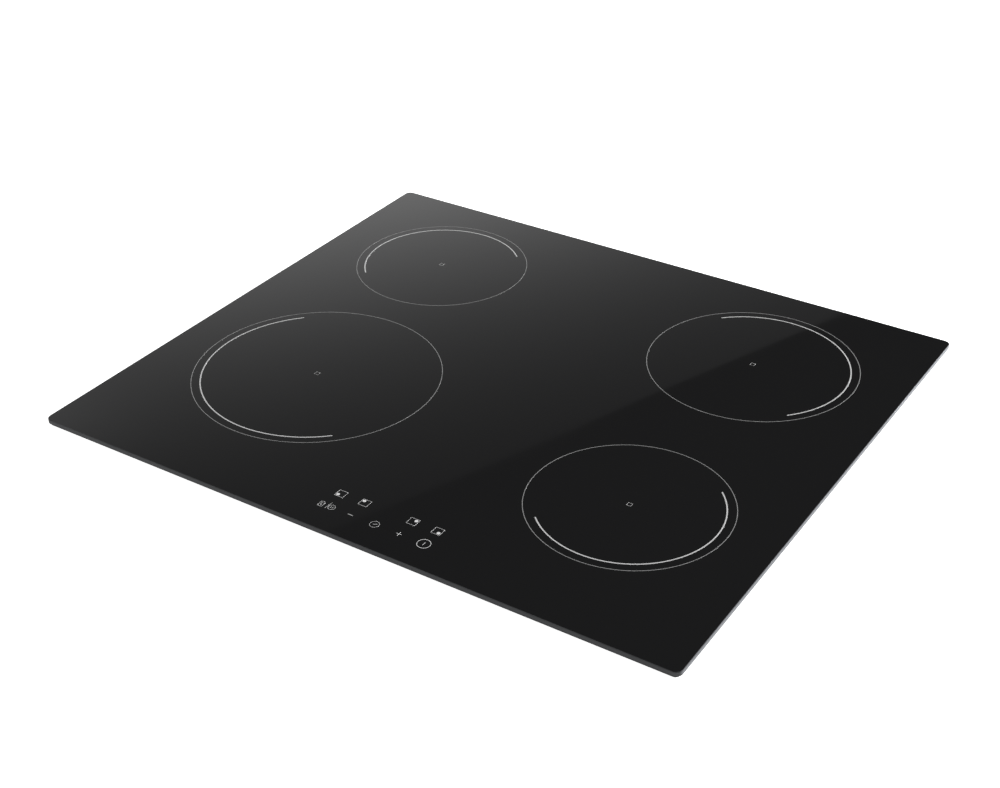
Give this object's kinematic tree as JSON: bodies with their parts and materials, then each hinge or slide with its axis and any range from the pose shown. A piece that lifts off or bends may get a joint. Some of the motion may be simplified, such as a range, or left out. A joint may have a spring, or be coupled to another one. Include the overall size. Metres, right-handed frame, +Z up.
{
  "type": "induction cooktop",
  "caption": "Built-in electric induction hob: a black glass-ceramic plate with printed cooking zones and touch signs over a shallow vented steel casing.",
  "frame": {"origin": "centre of the casing's underside, where the hob stands on a bench", "axes": "+X to the right along the hob's width, +Y to the back, away from the touch signs, +Z up through the glass"},
  "size_m": [0.59, 0.52, 0.054],
  "materials": {
    "glass_ceramic": "polished black glass-ceramic with ground edges",
    "ring_enamel": "fired grey print",
    "arc_enamel": "fired light grey print",
    "mark_enamel": "fired pale grey print",
    "foam": "closed-cell foam strip",
    "silicone": "black silicone",
    "galvanised_steel": "hot-dip galvanised sheet",
    "zinc_plated_steel": "bright zinc plate",
    "ferrite": "pressed ferrite",
    "mica": "pressed mica and fibre sheet",
    "silicone_boot": "white silicone",
    "aluminium_sheet": "mill finish sheet",
    "moulded_grey": "moulded, fine texture",
    "moulded_black": "moulded, fine texture",
    "spring_steel": "blued strip",
    "circuit_board": "green solder resist",
    "extruded_aluminium": "extruded, mill finish",
    "black_epoxy": "moulded epoxy",
    "capacitor_case": "moulded yellow case",
    "choke_winding": "enamelled wire on a ring core",
    "cable_pvc": "grey insulation",
    "brass_screw": "plain brass",
    "copper_litz": "stranded enamelled copper",
    "motor_steel": "stacked laminations"
  },
  "bodies": {
    "hob": {"board_tray_left": "moulded_grey", "board_tray_right": "moulded_grey", "bracket_screws": "zinc_plated_steel", "cable_grommet": "silicone", "casing_pan": "galvanised_steel", "casing_screws": "zinc_plated_steel", "coil_former_back_left": "moulded_black", "coil_former_back_right": "moulded_black", "coil_former_front_left": "moulded_black", "coil_former_front_right": "moulded_black", "coil_leads": "cable_pvc", "coil_plate_left": "aluminium_sheet", "coil_plate_right": "aluminium_sheet", "coil_winding_back_left": "copper_litz", "coil_winding_back_right": "copper_litz", "coil_winding_front_left": "copper_litz", "coil_winding_front_right": "copper_litz", "control_marks": "mark_enamel", "displays": "black_epoxy", "earth_tag": "brass_screw", "fan_cover_left": "moulded_black", "fan_cover_right": "moulded_black", "fan_housing_left": "moulded_black", "fan_housing_right": "moulded_black", "fan_motor_left": "motor_steel", "fan_motor_right": "motor_steel", "ferrite_bars": "ferrite", "film_capacitors": "capacitor_case", "filter_board": "circuit_board", "frame_bond": "silicone", "glass_top": "glass_ceramic", "heat_sink_left": "extruded_aluminium", "heat_sink_right": "extruded_aluminium", "insulation_discs": "mica", "line_chokes": "choke_winding", "plate_springs": "spring_steel", "power_board_left": "circuit_board", "power_board_right": "circuit_board", "power_transistors": "black_epoxy", "ribbon_cable": "cable_pvc", "support_frame": "galvanised_steel", "temperature_sensors": "silicone_boot", "terminal_block": "moulded_grey", "terminal_box": "moulded_black", "terminal_screws": "brass_screw", "touch_board": "circuit_board", "touch_carrier": "moulded_black", "touch_pads": "silicone", "worktop_seal": "foam", "zone_arcs": "arc_enamel", "zone_centres": "arc_enamel", "zone_rings": "ring_enamel"},
    "fan_wheel_left": {"fan_impeller_left": "moulded_black"},
    "fan_wheel_right": {"fan_impeller_right": "moulded_black"},
    "terminal_flap": {"terminal_cover": "moulded_black"},
    "clamp_front_left": {"bracket_front_left": "zinc_plated_steel"},
    "clamp_back_left": {"bracket_back_left": "zinc_plated_steel"},
    "clamp_back_right": {"bracket_back_right": "zinc_plated_steel"},
    "clamp_front_right": {"bracket_front_right": "zinc_plated_steel"}
  },
  "joints": [
    {"name": "fan_left_spin", "type": "hinge", "parent": "hob", "child": "fan_wheel_left", "pos_m": [-0.19, 0.12, 0.012], "axis": [0, 0, 1], "continuous": true},
    {"name": "fan_right_spin", "type": "hinge", "parent": "hob", "child": "fan_wheel_right", "pos_m": [0.19, 0.12, 0.012], "axis": [0, 0, 1], "continuous": true},
    {"name": "terminal_cover_hinge", "type": "hinge", "parent": "hob", "child": "terminal_flap", "pos_m": [0.1845, 0.2461, 0.0343], "axis": [1, 0, 0], "range_deg": [0, 100]},
    {"name": "bracket_front_left_swivel", "type": "hinge", "parent": "hob", "child": "clamp_front_left", "pos_m": [-0.265, -0.19, 0.0109], "axis": [0, 0, 1], "range_deg": [0, 90]},
    {"name": "bracket_back_left_swivel", "type": "hinge", "parent": "hob", "child": "clamp_back_left", "pos_m": [-0.265, 0.19, 0.0109], "axis": [0, 0, -1], "range_deg": [0, 90]},
    {"name": "bracket_back_right_swivel", "type": "hinge", "parent": "hob", "child": "clamp_back_right", "pos_m": [0.265, 0.19, 0.0109], "axis": [0, 0, 1], "range_deg": [0, 90]},
    {"name": "bracket_front_right_swivel", "type": "hinge", "parent": "hob", "child": "clamp_front_right", "pos_m": [0.265, -0.19, 0.0109], "axis": [0, 0, -1], "range_deg": [0, 90]}
  ]
}
